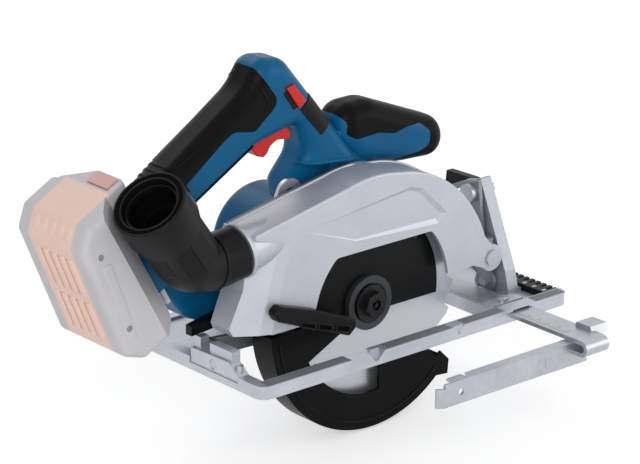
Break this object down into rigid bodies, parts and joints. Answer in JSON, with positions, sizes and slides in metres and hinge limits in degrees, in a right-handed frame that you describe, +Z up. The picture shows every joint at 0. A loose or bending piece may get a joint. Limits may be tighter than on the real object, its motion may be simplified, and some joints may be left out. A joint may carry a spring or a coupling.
{
  "type": "circular saw",
  "caption": "Cordless hand-held circular saw with tilting base, fixed and swinging blade guards, dust elbow, trigger handle, front handle, slide-on battery and parallel guide.",
  "frame": {"origin": "middle of the base's length and width on the sole plane, where the base lies on the work", "axes": "+X is the cutting direction, +Y points to the motor side, +Z is up from the sole"},
  "size_m": [0.3921, 0.2388, 0.278],
  "materials": {
    "blue_plastic": "satin moulded",
    "black_plastic": "fine grain",
    "black_rubber": "soft matte overmould",
    "guard_paint": "silver-grey paint",
    "base_metal": "pressed and rolled",
    "zinc_steel": "zinc plated",
    "dark_steel": "blackened",
    "blade_steel": "ground",
    "guard_black": "black paint",
    "case_metal": "die cast",
    "core_steel": "laminated",
    "board": "potted board",
    "battery_grey": "pale moulded",
    "battery_copper": "pale moulded",
    "cell_metal": "sleeved",
    "red_plastic": "smooth"
  },
  "bodies": {
    "base": {"base_plate": "base_metal", "sight_strip": "black_plastic", "front_upright": "zinc_steel", "rear_bevel_bracket": "base_metal", "base_screws": "zinc_steel", "bevel_clamp_bolt": "zinc_steel", "bevel_pins": "zinc_steel", "clamp_bridge": "base_metal"},
    "bevel_lever": {"bevel_lever": "black_plastic"},
    "guide_screw": {"guide_clamp_screw": "zinc_steel"},
    "guide": {"guide_arm": "zinc_steel", "guide_fence": "zinc_steel"},
    "tilt_frame": {"front_quadrant": "zinc_steel", "rear_tilt_bracket": "zinc_steel", "depth_guide": "zinc_steel", "pivot_pin": "zinc_steel"},
    "saw_body": {"upper_guard": "guard_paint", "guard_screws": "zinc_steel", "dust_pipe": "black_plastic", "guard_spring": "zinc_steel", "gear_case": "case_metal", "arbor_bearings": "zinc_steel", "motor_housing": "blue_plastic", "motor_end_cap": "blue_plastic", "motor_screws": "zinc_steel", "stator": "core_steel", "motor_bearings": "zinc_steel", "depth_clamp_bolt": "zinc_steel", "handle_shell_near": "blue_plastic", "handle_shell_far": "blue_plastic", "grip_cover": "black_rubber", "handle_screws": "zinc_steel", "side_panel": "black_plastic", "switch_module": "black_plastic", "front_handle": "blue_plastic", "front_handle_grip": "black_rubber", "rear_housing": "blue_plastic", "motor_controller": "board", "terminal_block": "black_plastic"},
    "spindle": {"arbor": "dark_steel", "inner_flange": "dark_steel", "saw_blade": "blade_steel", "outer_flange": "dark_steel", "blade_bolt": "dark_steel", "drive_gear": "dark_steel"},
    "rotor": {"motor_shaft": "dark_steel", "rotor_core": "core_steel", "motor_fan": "black_plastic"},
    "lower_guard": {"lower_guard": "guard_black", "lower_guard_lever": "black_plastic", "lever_screw": "zinc_steel"},
    "elbow": {"dust_elbow": "black_plastic"},
    "spindle_lock": {"spindle_lock": "black_plastic"},
    "depth_lever": {"depth_lever": "black_plastic"},
    "trigger": {"trigger": "red_plastic"},
    "lock_off": {"lock_off_button": "red_plastic"},
    "battery": {"battery_case": "battery_grey", "battery_cover": "battery_copper", "battery_cells": "cell_metal"},
    "battery_button": {"battery_button": "red_plastic"}
  },
  "joints": [
    {"name": "bevel_tilt", "type": "hinge", "parent": "base", "child": "tilt_frame", "pos_m": [0, -0.026, 0.0105], "axis": [1, 0, 0], "range_deg": [0, 45]},
    {"name": "bevel_clamp", "type": "hinge", "parent": "base", "child": "bevel_lever", "pos_m": [0.1234, -0.009, 0.07396], "axis": [1, 0, 0], "range_deg": [0, 60]},
    {"name": "guide_slide", "type": "slide", "parent": "base", "child": "guide", "axis": [0, -1, 0], "range_m": [-0.03, 0.06]},
    {"name": "guide_clamp", "type": "hinge", "parent": "base", "child": "guide_screw", "pos_m": [0.096, -0.0605, 0.009], "axis": [0, 0, 1], "range_deg": [0, 270]},
    {"name": "depth_pivot", "type": "hinge", "parent": "tilt_frame", "child": "saw_body", "pos_m": [0.1, -0.03, 0.036], "axis": [0, 1, 0], "range_deg": [0, 28]},
    {"name": "spindle_spin", "type": "hinge", "parent": "saw_body", "child": "spindle", "pos_m": [-0.01, -0.032, 0.026], "axis": [0, 1, 0], "continuous": true},
    {"name": "rotor_spin", "type": "hinge", "parent": "saw_body", "child": "rotor", "pos_m": [-0.02093, 0.0454, 0.04987], "axis": [0, 1, 0], "continuous": true},
    {"name": "lower_guard_swing", "type": "hinge", "parent": "saw_body", "child": "lower_guard", "pos_m": [-0.01, -0.02, 0.026], "axis": [0, 1, 0], "range_deg": [0, 118], "stiffness_Nm_per_rad": 0.12, "springref_deg": -45.84},
    {"name": "elbow_swivel", "type": "hinge", "parent": "saw_body", "child": "elbow", "pos_m": [-0.12, -0.028, 0.0887], "axis": [0.99, 0, 0.1409], "range_deg": [0, 95]},
    {"name": "spindle_lock_press", "type": "slide", "parent": "saw_body", "child": "spindle_lock", "axis": [-0.7431, 0, -0.6691], "range_m": [0, 0.004], "stiffness_N_per_m": 600, "springref_m": -0.002},
    {"name": "depth_clamp", "type": "hinge", "parent": "saw_body", "child": "depth_lever", "pos_m": [-0.07376, 0.0047, 0.02689], "axis": [0, 1, 0], "range_deg": [0, 35]},
    {"name": "trigger_press", "type": "slide", "parent": "saw_body", "child": "trigger", "axis": [-0.541, 0, 0.841], "range_m": [0, 0.006], "stiffness_N_per_m": 600, "springref_m": -0.003},
    {"name": "lock_off_press", "type": "slide", "parent": "saw_body", "child": "lock_off", "axis": [0, 1, 0], "range_m": [0, 0.003], "stiffness_N_per_m": 500, "springref_m": -0.002},
    {"name": "battery_slide", "type": "slide", "parent": "saw_body", "child": "battery", "axis": [-0.4741, 0, 0.8805], "range_m": [0, 0.095]},
    {"name": "battery_latch_press", "type": "slide", "parent": "battery", "child": "battery_button", "axis": [0.4741, 0, -0.8805], "range_m": [0, 0.0025], "stiffness_N_per_m": 600, "springref_m": -0.002}
  ],
  "couplings": [
    {"joint": "rotor_spin", "follows": "spindle_spin", "ratio": -4}
  ]
}
